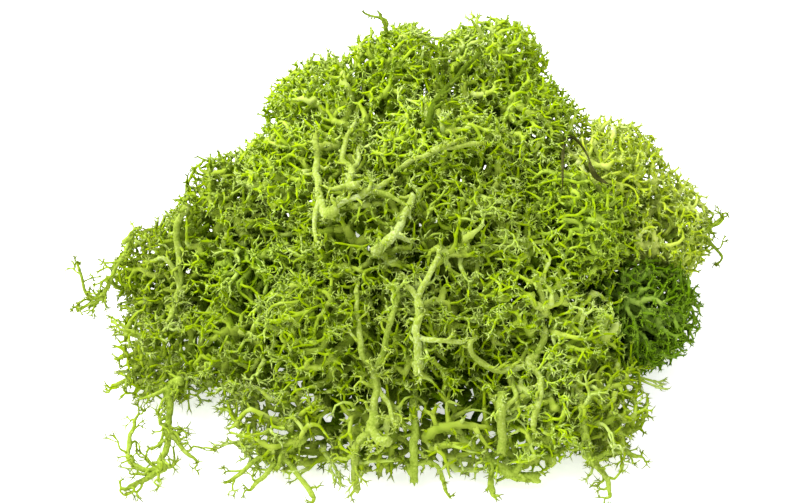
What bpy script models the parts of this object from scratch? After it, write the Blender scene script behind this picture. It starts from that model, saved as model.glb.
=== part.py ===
"""A clump of reindeer lichen, the bushy "moss" sold for craft and display.

The clump is a handful of tufts pressed into one mound. Each tuft is a forked stem whose arms run into
rounded crowns. A crown is the solid that reaches the tips of that arm's branchlets, and it meets the
next crown across a narrow gap. Bare stems and loose sprigs lie in grooves on and around the crowns.
Frame: +Z up, +X to the right, -Y to the front, origin on the table under the middle of the clump.
Sizes are in millimetres and become metres where a mesh is written.
"""

import math

import bmesh
import bpy
from mathutils import Matrix, Vector, noise

MM = 0.001
GAP = 0.3  # clearance between neighbouring pieces

CROWN_CUTS = 2  # cuts in each edge of the icosahedron that a crown starts from
LUMP_SIZE = 9.0  # width of the lumps on a crown
LUMP_HEIGHT = 0.13  # height of the lumps, as a share of the crown's radius

STEM_SIDES = 4  # facets round a stem
TRUNK_RADII = (1.7, 1.4)
ARM_RADII = (1.2, 0.8)
ARM_REACH = 0.55  # how far an arm runs from the fork to its crown's centre

# Each tuft: where its trunk stands, where it forks, and its crowns as (centre, radii).
TUFTS = {
    "top": {
        "base": (2, 9, 3),
        "fork": (3, 15, 25),
        "crowns": {
            "left": ((-12, 19, 36), (12, 12, 12)),
            "middle": ((1, 22, 40), (12, 12, 12)),
            "right": ((16, 25, 39), (13, 12, 12)),
            "side": ((23, 16, 36), (10, 11, 11)),
            "front": ((8, 6, 38), (12, 11, 11)),
            "shoulder": ((-17, 7, 33), (11, 11, 11)),
        },
    },
    "right": {
        "base": (27, 5, 3),
        "fork": (34, 3, 14),
        "crowns": {
            "high": ((37, 10, 28), (13, 12, 12)),
            "outer": ((46, 6, 20), (12, 12, 12)),
            "low": ((43, -6, 11), (12, 12, 12)),
            "inner": ((31, -2, 28), (11, 11, 11)),
        },
    },
    "left": {
        "base": (-22, 11, 3),
        "fork": (-28, 8, 12),
        "crowns": {
            "high": ((-29, 6, 24), (12, 12, 11)),
            "outer": ((-42, 4, 10), (11, 11, 11)),
            "hollow": ((-24, -3, 15), (12, 11, 11)),
        },
    },
    "low_left": {
        "base": (-20, -17, 3),
        "fork": (-28, -15, 5),
        "crowns": {
            "outer": ((-42, -12, 7), (10, 11, 8)),
            "inner": ((-30, -15, 11), (11, 10, 9)),
        },
    },
    "centre": {
        "base": (1, -5, 3),
        "fork": (1, -9, 19),
        "crowns": {
            "left": ((-6, -7, 31), (13, 11, 11)),
            "right": ((12, -7, 32), (12, 11, 11)),
            "low_left": ((-11, -20, 19), (12, 11, 11)),
            "low_right": ((4, -20, 20), (11, 11, 11)),
            "under": ((2, 3, 9), (16, 15, 11)),
        },
    },
    "middle_right": {
        "base": (17, -9, 3),
        "fork": (21, -12, 12),
        "crowns": {
            "high": ((20, -13, 22), (12, 11, 11)),
            "low": ((29, -18, 13), (11, 10, 11)),
        },
    },
    "front": {
        "base": (-5, -23, 3),
        "fork": (-5, -27, 5),
        "crowns": {
            "left": ((-18, -29, 6), (12, 11, 8)),
            "middle": ((-4, -31, 7), (11, 10, 8)),
            "right": ((11, -31, 7), (11, 10, 8)),
        },
    },
    "front_right": {
        "base": (24, -21, 3),
        "fork": (27, -25, 5),
        "crowns": {
            "inner": ((23, -29, 7), (11, 11, 9)),
            "outer": ((34, -27, 8), (11, 11, 10)),
        },
    },
    "back": {
        "base": (2, 23, 3),
        "fork": (3, 27, 9),
        "crowns": {
            "far_left": ((-23, 23, 11), (13, 12, 13)),
            "left": ((-7, 31, 14), (14, 12, 16)),
            "right": ((15, 32, 14), (14, 12, 16)),
            "far_right": ((33, 21, 12), (13, 12, 13)),
        },
    },
}

# Bare stems and sprigs that show: each is a list of limbs, the first of which carries the others.
# A limb is its first and last radius, then the points it passes.
SHOWN_STEMS = {
    "centre_forked_stem": [
        (1.0, 0.5, (-4, -38, 12.5), (-3.5, -29, 18), (-6, -28.5, 23), (-7, -21, 29.5)),
        (0.8, 0.4, (-3.5, -29, 18), (-2, -27.5, 25), (0, -23.5, 30), (0, -16, 29.5)),
        (0.9, 0.8, (-4, -37, 13), (-7, -38, 9), (-7, -39, 5), (-7, -41, 1.5)),
        (0.7, 0.4, (-3.5, -31, 17), (-2, -33.5, 15.5), (-0.5, -37, 14)),
    ],
    "centre_upright_stem": [
        (0.8, 0.5, (3.5, -31, 21), (4, -27, 28), (4, -23, 31), (7, -17, 34)),
        (0.6, 0.4, (4, -24, 30.5), (1.5, -22, 31), (0.5, -16, 30)),
        (0.5, 0.4, (4, -28, 26.5), (7, -29, 26), (10.5, -28, 24.5)),
    ],
    "shoulder_stem": [
        (1.0, 0.6, (-12, -12, 39), (-13.5, -8, 39.5), (-14, -1, 40.5), (-14, 4, 43)),
        (0.6, 0.4, (-13, -9, 39.5), (-14, -12.5, 37.5), (-14, -15, 36)),
    ],
    "forked_stem": [
        (0.8, 0.5, (-8, -7, 41.5), (-8, -2, 40.5), (-9.5, 3, 40), (-8, 8, 42)),
        (0.6, 0.4, (-8, -2, 40.5), (-7, 2, 39.5), (-7, 6, 39)),
        (0.6, 0.4, (-8, -7, 41.5), (-10, -7.5, 41), (-11.5, -6.5, 40.5)),
    ],
    "slanting_stem": [
        (0.7, 0.5, (-10.5, -11, 40), (-6.5, -10, 41), (-2, -6.5, 41.5)),
        (0.6, 0.4, (-4, -9, 41.5), (1, -9.5, 39.5)),
    ],
    "ridge_stem": [
        (0.6, 0.4, (0, -1.5, 40), (3, -3, 44), (7.5, -2.5, 46), (10, -1, 46.5)),
        (0.5, 0.4, (7.5, -2.5, 46), (13.5, -1, 45.5)),
    ],
    "torn_stem": [
        (0.7, 1.0, (1, -11.5, 38.5), (-1, -15.5, 36.5), (-4, -17, 35)),
        (0.6, 0.4, (-1, -15, 37), (2, -14, 35)),
    ],
    "crossing_stem": [
        (0.5, 0.7, (12, -27, 23.5), (14, -27.5, 20), (18.5, -28, 18), (22.5, -26, 18), (25.5, -22, 21)),
        (0.8, 0.6, (22.5, -26, 18), (24.5, -29, 16.5), (24.5, -32, 16), (23, -37, 13.5)),
    ],
    "front_upright_stem": [
        (1.0, 0.9, (18, -31, 15.5), (18, -34.5, 14), (18, -38, 8)),
        (0.6, 0.4, (18, -34, 14), (20, -32, 15.5), (19.5, -28, 16)),
    ],
    "front_cut_stem": [
        (0.8, 0.9, (3, -30.5, 13), (3, -36.5, 8), (3, -38.5, 1.5)),
        (0.6, 0.4, (3, -37.5, 4.5), (7.5, -37.5, 4.5), (8, -41, 1.5)),
    ],
    "front_webbed_stem": [
        (0.9, 1.1, (10, -34, 9), (15, -36.5, 4.5), (20, -38.5, 3), (24, -38.5, 2)),
        (0.7, 0.5, (20, -38.5, 3), (22, -38, 7), (23, -36, 9)),
        (0.7, 0.6, (15, -36.5, 4.5), (16.5, -41, 1.5)),
    ],
    "left_upright_stem": [
        (0.8, 0.6, (-39, 0, 26), (-39, -2.5, 19.5), (-39.5, -6, 15.5), (-40, -12, 15.5)),
        (0.6, 0.4, (-39, -5, 17), (-41.5, -2.5, 20), (-44, -2.5, 20)),
    ],
    "far_left_sprig": [
        (0.7, 0.5, (-48, 3, 20), (-50.5, 1, 16), (-53, -0.5, 11), (-55, -0.5, 8)),
        (0.6, 0.4, (-54.5, -0.5, 8.5), (-57, 0.5, 10), (-58, 2, 14)),
        (0.6, 0.4, (-54.5, -0.5, 8.5), (-58, -0.5, 6)),
    ],
    "low_left_sprig": [
        (0.9, 0.5, (-40, -24, 9), (-40, -31, 5), (-41.5, -37, 2.5), (-46, -40, 1.5)),
        (0.7, 0.4, (-41.5, -37, 2.5), (-46.5, -35, 3), (-46, -28, 5)),
        (0.6, 0.4, (-40, -31, 5), (-36, -34, 3)),
    ],
    "front_left_sprig": [
        (0.9, 0.4, (-17, -35, 8), (-19.5, -36.5, 6), (-22.5, -38, 3.5), (-25, -40.5, 1.5)),
        (0.6, 0.4, (-19.5, -36.5, 6), (-23.5, -36.5, 5), (-28.5, -39, 2)),
        (0.7, 0.5, (-19.5, -36.5, 6), (-17.5, -39, 4), (-14.5, -42, 1.5)),
    ],
    "front_right_sprig": [
        (0.9, 0.4, (32, -35, 10), (33.5, -37, 6), (35.5, -39, 3), (36.5, -42, 1.5)),
        (0.6, 0.4, (33.5, -37, 6), (38.5, -36, 6), (41, -36, 5)),
    ],
    "right_sprig": [
        (0.8, 0.5, (51, 2, 22), (55, 2, 22), (58, 4, 24)),
        (0.6, 0.4, (55, 2, 22), (58, 0, 19)),
    ],
    "top_sprig": [
        (0.7, 0.5, (-2, 25, 50), (-3, 27, 53)),
        (0.5, 0.4, (-3, 26, 52), (-6, 27, 53)),
    ],
    "dark_stem": [
        (0.8, 0.5, (6, 6, 48.5), (8, 11, 47.5), (10.5, 16, 47), (14.5, 19, 50)),
        (0.6, 0.4, (8, 11, 47.5), (6, 16, 50)),
    ],
    "grass_strand": [
        (0.4, 0.4, (28.5, -5, 38.5), (29.5, 8, 38), (31, 9, 39), (33, 4.5, 39.5), (34.5, -2, 39)),
    ],
}


def crown_table():
    """Every crown as name, centre, radii, in the order of the tufts."""
    return [
        (f"{tuft}_crown_{place}", Vector(centre), Vector(radii))
        for tuft, parts in TUFTS.items()
        for place, (centre, radii) in parts["crowns"].items()
    ]


def new_object(name, bm, material):
    """Writes a bmesh in millimetres to a new object in metres."""
    for vertex in bm.verts:
        vertex.co *= MM
    mesh = bpy.data.meshes.new(name)
    bm.to_mesh(mesh)
    bm.free()
    mesh.materials.append(material)
    piece = bpy.data.objects.new(name, mesh)
    bpy.context.scene.collection.objects.link(piece)
    return piece


def lichen(name, colour, roughness):
    material = bpy.data.materials.new(name)
    material.use_nodes = True
    shader = material.node_tree.nodes["Principled BSDF"]
    shader.inputs["Base Color"].default_value = (*colour, 1.0)
    shader.inputs["Roughness"].default_value = roughness
    return material


def helper(piece):
    """Marks an object as one that only joins or cuts others."""
    piece.hide_render = True
    piece.display_type = "WIRE"
    return piece


def boolean(piece, operation, tools):
    """Joins the tools to a piece or cuts them from it."""
    group = bpy.data.collections.new(f"{piece.name}_{operation.lower()}")
    for tool in tools:
        group.objects.link(tool)
    modifier = piece.modifiers.new(operation.lower(), "BOOLEAN")
    modifier.operation = operation
    modifier.operand_type = "COLLECTION"
    modifier.collection = group


def cell_reach(direction, centre, radii, others):
    """How far a crown may grow along a direction before it meets the table or a neighbour's share.

    Two crowns share the space between them along the plane of equal power, as soap bubbles do.
    """
    reach = math.inf
    if direction.z < 0:
        reach = centre.z / -direction.z
    mean = sum(radii) / 3
    for other_centre, other_radii in others:
        towards = other_centre - centre
        distance = towards.length
        other_mean = sum(other_radii) / 3
        share = (distance**2 + mean**2 - other_mean**2) / (2 * distance) - GAP / 2
        facing = direction.dot(towards) / distance
        if facing > 0:
            reach = min(reach, share / facing)
    return reach


def add_crown(name, centre, radii, others, material):
    """A lumpy ball, flat where it rests on the table and where it meets its neighbours."""
    bm = bmesh.new()
    bmesh.ops.create_icosphere(bm, subdivisions=1, radius=1.0)
    bmesh.ops.subdivide_edges(bm, edges=bm.edges[:], cuts=CROWN_CUTS, use_grid_fill=True)
    for vertex in bm.verts:
        direction = vertex.co.normalized()
        free = 1 / Vector(d / r for d, r in zip(direction, radii)).length
        lump = noise.noise((centre + direction * free) / LUMP_SIZE)
        free *= 1 + LUMP_HEIGHT * lump
        vertex.co = centre + direction * min(free, cell_reach(direction, centre, radii, others))
        vertex.co.z = max(vertex.co.z, 0.0)
    bmesh.ops.triangulate(bm, faces=bm.faces[:])
    return new_object(name, bm, material)


def add_limb(name, limb, sides, material, extra=0.0):
    """A tapering tube with closed ends through a limb's points. extra fattens and lengthens it."""
    first, last, *points = limb
    path = [Vector(point) for point in points]
    path[0] += extra * (path[0] - path[1]).normalized()
    path[-1] += extra * (path[-1] - path[-2]).normalized()
    bm = bmesh.new()
    rings = []
    across = (path[1] - path[0]).orthogonal()
    for number, point in enumerate(path):
        along = path[min(number + 1, len(path) - 1)] - path[max(number - 1, 0)]
        across = (across - across.project(along)).normalized()
        beside = along.normalized().cross(across)
        radius = first + (last - first) * number / (len(path) - 1) + extra
        ring = []
        for side in range(sides):
            angle = 2 * math.pi * side / sides
            offset = math.cos(angle) * across + math.sin(angle) * beside
            ring.append(bm.verts.new(point + radius * offset))
        rings.append(ring)
    for ring, following in zip(rings, rings[1:]):
        for side in range(sides):
            after = (side + 1) % sides
            bm.faces.new((ring[side], ring[after], following[after], following[side]))
    bm.faces.new(reversed(rings[0]))
    bm.faces.new(rings[-1])
    bmesh.ops.triangulate(bm, faces=bm.faces[:])
    return new_object(name, bm, material)


def tuft_limbs(base, fork, crowns):
    """A tuft's trunk and the arm from its fork into each crown."""
    limbs = [(*TRUNK_RADII, base, fork)]
    for centre, _ in crowns.values():
        limbs.append((*ARM_RADII, fork, Vector(fork).lerp(Vector(centre), ARM_REACH)))
    return limbs


def add_stem(name, limbs, sides, material):
    """Joins limbs into one forked stem. Returns the fattened limbs that cut its way through the crowns."""
    trunk, *arms = [
        add_limb(name if number == 0 else f"{name}_limb_{number}", limb, sides, material)
        for number, limb in enumerate(limbs)
    ]
    if arms:
        boolean(trunk, "UNION", [helper(arm) for arm in arms])
    return [
        helper(add_limb(f"{name}_way_{number}", limb, sides, material, extra=GAP))
        for number, limb in enumerate(limbs)
    ]


def box(piece):
    """Lowest and highest corner of a piece's own mesh."""
    corners = [vertex.co for vertex in piece.data.vertices]
    low = Vector(min(corner[axis] for corner in corners) for axis in range(3))
    high = Vector(max(corner[axis] for corner in corners) for axis in range(3))
    return low, high


def touch(one, other):
    """Whether two pieces' boxes meet."""
    (low, high), (other_low, other_high) = box(one), box(other)
    return all(low[axis] <= other_high[axis] and other_low[axis] <= high[axis] for axis in range(3))


for old in list(bpy.data.objects):
    bpy.data.objects.remove(old)

crown_green = lichen("crown_green", (0.24, 0.36, 0.03), 0.8)
stem_green = lichen("stem_green", (0.36, 0.46, 0.10), 0.85)
strand_brown = lichen("strand_brown", (0.05, 0.06, 0.02), 0.7)

crown_pieces = []
crowns = crown_table()
for name, centre, radii in crowns:
    others = [(c, r) for other, c, r in crowns if other != name]
    crown_pieces.append(add_crown(name, centre, radii, others, crown_green))

ways = []
for tuft, parts in TUFTS.items():
    ways += add_stem(f"{tuft}_tuft_stem", tuft_limbs(**parts), STEM_SIDES, stem_green)
for name, limbs in SHOWN_STEMS.items():
    material = strand_brown if name == "grass_strand" else stem_green
    ways += add_stem(name, limbs, STEM_SIDES, material)

for crown in crown_pieces:
    crossing = [way for way in ways if touch(crown, way)]
    if crossing:
        boolean(crown, "DIFFERENCE", crossing)

# The clump is moved so that the origin is under the middle of its box.
boxes = [box(piece) for piece in bpy.data.objects if piece not in ways]
middle_x = (min(low.x for low, _ in boxes) + max(high.x for _, high in boxes)) / 2
middle_y = (min(low.y for low, _ in boxes) + max(high.y for _, high in boxes)) / 2
for piece in bpy.data.objects:
    piece.data.transform(Matrix.Translation((-middle_x, -middle_y, 0)))
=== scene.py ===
"""The looks of a clump of reindeer lichen, grown branch by branch inside the crowns of its frame.

Lengths are in millimetres until a mesh is written. +Z is up and -Y is the front.
"""

import math

import bpy
import numpy as np
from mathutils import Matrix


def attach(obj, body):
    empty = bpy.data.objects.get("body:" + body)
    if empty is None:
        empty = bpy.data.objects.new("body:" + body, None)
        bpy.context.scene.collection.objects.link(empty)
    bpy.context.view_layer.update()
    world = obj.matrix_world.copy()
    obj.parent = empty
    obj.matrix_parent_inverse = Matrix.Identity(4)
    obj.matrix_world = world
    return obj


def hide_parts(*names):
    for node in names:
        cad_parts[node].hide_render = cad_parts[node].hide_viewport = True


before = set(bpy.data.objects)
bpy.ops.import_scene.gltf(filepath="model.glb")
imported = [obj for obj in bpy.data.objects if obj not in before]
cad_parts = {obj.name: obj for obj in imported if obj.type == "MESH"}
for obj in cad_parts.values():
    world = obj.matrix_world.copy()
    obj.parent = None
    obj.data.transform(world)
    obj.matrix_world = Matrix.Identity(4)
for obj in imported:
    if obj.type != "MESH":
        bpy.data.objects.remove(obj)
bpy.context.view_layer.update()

MM = 0.001


# ---- the table, the light and the camera
# A pale matt table, a bright room all round, and one broad soft lamp above the clump's left shoulder.
# The camera looks down on the clump's front from arm's length.

TABLE_SIZE = 6.0
TABLE_DROP = 0.0003  # how far it lies below the clump, so that the two aren't in one plane
TABLE_GREY = 0.86
TABLE_ROUGHNESS = 0.9
TABLE_GLOW = 0.6  # the table is a sheet of opal glass, lit a little from below
ROOM_STRENGTH = 1.0
LAMP_POWER = 11.8
LAMP_PLACE = (-0.44, 0.06, 0.78)
LAMP_SIZE = 0.5
VIEW_HEIGHT = math.radians(42)
VIEW_DISTANCE = 0.42
VIEW_MIDDLE = (0.00046, -0.00056, 0.0194)
LENS = 105.0

bpy.ops.mesh.primitive_plane_add(size=TABLE_SIZE, location=(0, 0, -TABLE_DROP))
table = bpy.context.object
table.name = "table_top"
table_paint = bpy.data.materials.new("table_paint")
table_paint.use_nodes = True
paint = table_paint.node_tree.nodes["Principled BSDF"]
paint.inputs["Base Color"].default_value = (TABLE_GREY, TABLE_GREY, TABLE_GREY, 1)
paint.inputs["Roughness"].default_value = TABLE_ROUGHNESS
paint.inputs["Emission Color"].default_value = (1.0, 1.0, 1.0, 1)
paint.inputs["Emission Strength"].default_value = TABLE_GLOW
table.data.materials.append(table_paint)

room = bpy.data.worlds.new("room")
room.use_nodes = True
room.node_tree.nodes["Background"].inputs["Color"].default_value = (1.0, 1.0, 1.0, 1)
room.node_tree.nodes["Background"].inputs["Strength"].default_value = ROOM_STRENGTH
bpy.context.scene.world = room
bpy.context.scene.view_settings.view_transform = "Standard"

lamp_data = bpy.data.lights.new("lamp", "AREA")
lamp_data.energy = LAMP_POWER
lamp_data.size = LAMP_SIZE
lamp = bpy.data.objects.new("lamp", lamp_data)
lamp.location = LAMP_PLACE
lamp.rotation_euler = (-lamp.location).to_track_quat("-Z", "Y").to_euler()
bpy.context.scene.collection.objects.link(lamp)

camera_data = bpy.data.cameras.new("camera")
camera_data.lens = LENS
camera = bpy.data.objects.new("camera", camera_data)
towards = np.array((0, -math.cos(VIEW_HEIGHT), math.sin(VIEW_HEIGHT)))
camera.location = np.array(VIEW_MIDDLE) + VIEW_DISTANCE * towards
camera.rotation_euler = (math.pi / 2 - VIEW_HEIGHT, 0, 0)
bpy.context.scene.collection.objects.link(camera)
bpy.context.scene.camera = camera


# ---- the top tuft
# The tallest tuft: one forked stem, and six round crowns of very fine, close branchlets. Lichen grows as
# hollow stalks that fork again and again, thinner each time, and end in little stars of pointed fingers.

GRID_PITCH = 1.3  # how wide the cells are in which the clump is shared out among its crowns
GRID_MARGIN = 5  # empty cells round the crowns
ODD_SHIFT = 0.0137  # keeps the middles of cells off the corners of faces
CREASE_CELLS = 4  # creases up to twice this many cells wide are closed
PRESSED_CELLS = 4  # how many cells up from the table the underside is pressed flat
NOBODY = -1


def corners_of(node):
    """A node's faces as an array of three corners each."""
    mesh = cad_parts[node].data
    mesh.calc_loop_triangles()
    places = np.empty(len(mesh.vertices) * 3)
    mesh.vertices.foreach_get("co", places)
    faces = np.empty(len(mesh.loop_triangles) * 3, int)
    mesh.loop_triangles.foreach_get("vertices", faces)
    return places.reshape(-1, 3)[faces].reshape(-1, 3, 3) / MM


def inside(points, corners):
    """Whether points are in a closed solid: then an odd number of its faces lies straight above them."""
    first, across, along = corners[:, 0], corners[:, 1] - corners[:, 0], corners[:, 2] - corners[:, 0]
    offset = points[:, None, :2] - first[None, :, :2]
    with np.errstate(divide="ignore", invalid="ignore"):
        area = across[:, 0] * along[:, 1] - across[:, 1] * along[:, 0]
        u = (offset[..., 0] * along[:, 1] - offset[..., 1] * along[:, 0]) / area
        v = (across[:, 0] * offset[..., 1] - across[:, 1] * offset[..., 0]) / area
        height = first[:, 2] + u * across[:, 2] + v * along[:, 2]
        above = (u >= 0) & (v >= 0) & (u + v <= 1) & (height > points[:, None, 2])
    return above.sum(1) % 2 == 1


def swollen(grid, times):
    """The grid grown by one cell on all six sides, a number of times. Its margin is too wide to fill up."""
    for _ in range(times):
        grown = grid.copy()
        for axis in range(3):
            grown |= np.roll(grid, 1, axis) | np.roll(grid, -1, axis)
        grid = grown
    return grid


def sheltered(full):
    """The cells between full ones to the left and right, and to the front and back, that are under one."""
    ahead = [np.maximum.accumulate(full, axis) for axis in range(3)]
    behind = [np.flip(np.maximum.accumulate(np.flip(full, axis), axis), axis) for axis in range(3)]
    return ahead[0] & behind[0] & ahead[1] & behind[1] & behind[2]


def owners_of(crowns):
    """Which crown holds each cell of a grid.

    Creases between crowns and hollows under them are shared out too, and the underside is filled inwards
    by a cell a level down to the table.
    """
    owner = np.full(grid_shape, NOBODY)
    for number, corners in enumerate(crowns):
        low = np.floor((corners.reshape(-1, 3).min(0) - grid_low) / GRID_PITCH).astype(int)
        high = np.ceil((corners.reshape(-1, 3).max(0) - grid_low) / GRID_PITCH).astype(int)
        cells = np.stack(np.meshgrid(*[np.arange(l, h) for l, h in zip(low, high)], indexing="ij"), -1)
        cells = cells.reshape(-1, 3)
        full = inside(grid_low + (cells + 0.5) * GRID_PITCH + ODD_SHIFT, corners)
        owner[tuple(cells[full].T)] = number
    closed = ~swollen(~swollen(owner >= 0, CREASE_CELLS), CREASE_CELLS) | (owner >= 0)
    for _ in range(2 * CREASE_CELLS):
        for axis in range(3):
            for way in (1, -1):
                free = closed & (owner < 0)
                owner[free] = np.roll(owner, way, axis)[free]
    hollow = sheltered(owner >= 0)
    for level in range(grid_shape[2] - 2, GRID_MARGIN - 1, -1):
        free = hollow[:, :, level] & (owner[:, :, level] < 0)
        owner[:, :, level][free] = owner[:, :, level + 1][free]
    for level in range(GRID_MARGIN + PRESSED_CELLS - 1, GRID_MARGIN - 1, -1):
        above = owner[:, :, level + 1 : level + 2]
        free = ~swollen(above < 0, 1)[:, :, 0] & (owner[:, :, level] < 0)
        owner[:, :, level][free] = above[:, :, 0][free]
    return owner


def air_round(full):
    """The middles of the empty cells that touch the clump and aren't inside it or under the table."""
    height = grid_low[2] + (np.arange(grid_shape[2]) + 0.5) * GRID_PITCH
    air = ~full & ~sheltered(full) & (height > 0)
    touching = air & swollen(full, 1)
    return grid_low + (np.argwhere(touching) + 0.5) * GRID_PITCH


crown_nodes = sorted(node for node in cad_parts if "_crown_" in node)
crown_corners = [corners_of(node) for node in crown_nodes]
every_corner = np.concatenate([corners.reshape(-1, 3) for corners in crown_corners])
grid_low = every_corner.min(0) - GRID_MARGIN * GRID_PITCH
grid_shape = np.ceil((every_corner.max(0) - grid_low) / GRID_PITCH).astype(int) + GRID_MARGIN
cell_owner = owners_of(crown_corners)
air_spots = air_round(cell_owner >= 0).astype(np.float32)


BATCH = 1500  # how many points are measured at a time


def depth_of(points):
    """How far points lie below the clump's open surface: how far the nearest air is, less half a cell."""
    depths = []
    air_square = (air_spots**2).sum(1)
    for part in np.array_split(points.astype(np.float32), max(1, len(points) // BATCH)):
        square = (part**2).sum(1)[:, None] + air_square - 2 * part @ air_spots.T
        depths.append(np.sqrt(np.maximum(square.min(1), 0)))
    return np.concatenate(depths) - GRID_PITCH / 2


def way_out(points):
    """The shortest way from each point to the open air."""
    square = (air_spots**2).sum(1) - 2 * points @ air_spots.T
    return unit(air_spots[square.argmin(1)] - points)


def unit(vectors):
    """The vectors drawn out or in to a length of one."""
    return vectors / np.maximum(np.linalg.norm(vectors, axis=-1, keepdims=True), 1e-9)


def drift(points, size):
    """A smooth value from -1 to 1 that wanders over a given distance: the mean of three bent waves."""
    x, y, z = np.moveaxis(points / size, -1, 0)
    waves = np.sin(x + 1.7 * np.sin(y + 0.4)) + np.sin(y * 1.3 + 1.1 * np.sin(z + 2.0))
    return (waves + np.sin(z * 1.1 + x)) / 3


# Each band: how deep it starts and ends, and how far apart its points are, as a share of the finest.
DEPTH_BANDS = ((0.3, 3.0, 1.0), (3.0, 6.0, 1.2), (6.0, 11.0, 1.7), (11.0, 40.0, 2.8))
# The mat of old stems that lies along the table, under the rest.
MAT_HEIGHT = 3.5
MAT_DEPTH = 0.9
MAT_SPACING = 0.85
PRESSED = 0.5  # below this height everything is pressed together, so that nothing is under the table
JITTER = 0.36  # how far a point strays from its lattice, as a share of the pitch
HOLLOW_SIZE = 2.6  # how wide the empty spots in a crown are, more or less


def scatter(crown, fine, hollow, rng):
    """Points for branchlets in a crown, close near the open air and further apart deeper in.

    They are a lattice for each band of depth, and each point strays at random. A spot stays empty where
    a wandering value is below hollow.
    """
    own = np.argwhere(cell_owner == crown)
    low = grid_low + own.min(0) * GRID_PITCH
    high = grid_low + (own.max(0) + 1) * GRID_PITCH
    found = []
    for nearest, farthest, spacing in (*DEPTH_BANDS, (0, 0, MAT_SPACING)):
        pitch = spacing * fine
        axes = [np.arange(a - rng.random() * pitch, b, pitch) for a, b in zip(low, high)]
        points = np.stack(np.meshgrid(*axes, indexing="ij"), -1).reshape(-1, 3)
        points += rng.uniform(-JITTER, JITTER, points.shape) * pitch
        cells = np.floor((points - grid_low) / GRID_PITCH).astype(int)
        cells = np.clip(cells, 0, grid_shape - 1)
        points = points[cell_owner[tuple(cells.T)] == crown]
        depth = depth_of(points)
        wave = drift(points, HOLLOW_SIZE) + 0.5 * drift(points[:, ::-1], HOLLOW_SIZE / 2)
        in_mat = (points[:, 2] < MAT_HEIGHT) & (depth >= MAT_DEPTH)
        in_band = (depth >= nearest) & (depth < farthest) & (wave > hollow)
        found.append(points[in_mat if spacing == MAT_SPACING else in_band & ~in_mat])
    points = np.concatenate(found)
    return points[points[:, 2] > PRESSED]


OUTWARD = 0.1
TURNING = 0.3  # how much a point behind a branch costs more than one ahead


def grow(points, root, heading):
    """Joins points into one tree and returns them in order of growth, root first, with each one's parent.

    The next point is always the one that costs least to reach: its distance, made longer by TURNING
    from the parent's heading, plus a share, OUTWARD, of the way back to the root.
    """
    count = len(points)
    cost, parent = np.full(count, np.inf), np.zeros(count, int)
    way = np.zeros(count)
    order, place = [], np.full(count, -1)
    at, course, travelled, number = root, unit(heading), 0.0, 0
    for _ in range(count):
        gap = points - at
        distance = np.linalg.norm(gap, axis=1)
        straight = (gap @ course) / np.maximum(distance, 1e-6)
        price = distance * (1 + TURNING * (1 - straight)) + OUTWARD * travelled
        better = (price < cost) & (place < 0)
        cost[better], parent[better] = price[better], number
        way[better] = travelled + distance[better]
        cost[place >= 0] = np.inf
        chosen = int(np.argmin(cost))
        number = len(order) + 1
        order.append(chosen)
        place[chosen] = number
        before = root if parent[chosen] == 0 else points[order[parent[chosen] - 1]]
        at, travelled = points[chosen], way[chosen]
        course = unit(at - before)
    order = np.array(order)
    return np.concatenate([[root], points[order]]), np.concatenate([[-1], parent[order]])


def relax(points, parent):
    """Draws each fork half way to the middle of its neighbours, which straightens the branches."""
    kids = np.bincount(parent[1:], minlength=len(points))
    total = np.zeros_like(points)
    np.add.at(total, parent[1:], points[1:])
    total[1:] += points[parent[1:]]
    inner = (kids > 0) & (parent >= 0)
    return np.where(inner[:, None], 0.5 * points + 0.5 * total / (kids + 1)[:, None], points)


def tips_carried(parent):
    """How many tips each point of a tree carries."""
    carried = np.bincount(parent[1:], minlength=len(parent)) == 0
    carried = carried.astype(float)
    for child in range(len(parent) - 1, 0, -1):
        carried[parent[child]] += carried[child]
    return carried


def runs_of(parent, carried):
    """Splits a tree into runs from a fork to a tip. At each fork the run follows the heaviest branch."""
    heavy = np.full(len(parent), -1)
    for child in np.argsort(carried[1:], kind="stable") + 1:
        heavy[parent[child]] = child
    runs = []
    for start in range(1, len(parent)):
        if heavy[parent[start]] == start and parent[start] != 0:
            continue
        run = [parent[start], start]
        while heavy[run[-1]] >= 0:
            run.append(heavy[run[-1]])
        runs.append(run)
    return runs


def circle(along, across, sides):
    """Ways spread evenly round a course: across it times the cosine, and beside it times the sine."""
    angle = (np.arange(sides) * 2 * math.pi / sides)[:, None]
    return across[..., None, :] * np.cos(angle) + np.cross(along, across)[..., None, :] * np.sin(angle)


def walls(rings):
    """Faces of four corners from each ring of corner numbers to the next."""
    ahead = np.roll(rings, -1, -1)
    corners = [rings[..., :-1, :], ahead[..., :-1, :], ahead[..., 1:, :], rings[..., 1:, :]]
    return np.stack(corners, -1).reshape(-1, 4)


def tube_faces(rings):
    """The faces of closed tubes (..., m, sides): their walls, and a cap on either end."""
    sides = rings.shape[-1]
    return [walls(rings), rings[..., 0, ::-1].reshape(-1, sides), rings[..., -1, :].reshape(-1, sides)]


def rings_round(paths, radii, sides):
    """Rings of places round paths (n, m, 3): each ring stands square to its path, and none is twisted."""
    along = unit(np.gradient(paths, axis=1))
    across = unit(np.cross(along[:, 0], np.array((0.31, 0.52, 0.80))))
    frames = []
    for ring in range(paths.shape[1]):
        across = unit(across - (across * along[:, ring]).sum(1, keepdims=True) * along[:, ring])
        frames.append(across)
    across = np.stack(frames, 1)
    return paths[:, :, None] + radii[:, :, None, None] * circle(along, across, sides)


RING_TONES = 0.012  # a change of tone round each ring, which gives every face some width on its map
FINGER_SIDE = np.array((0.43, 0.21, 0.88))
FINGER_WAIST = 0.72
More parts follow.
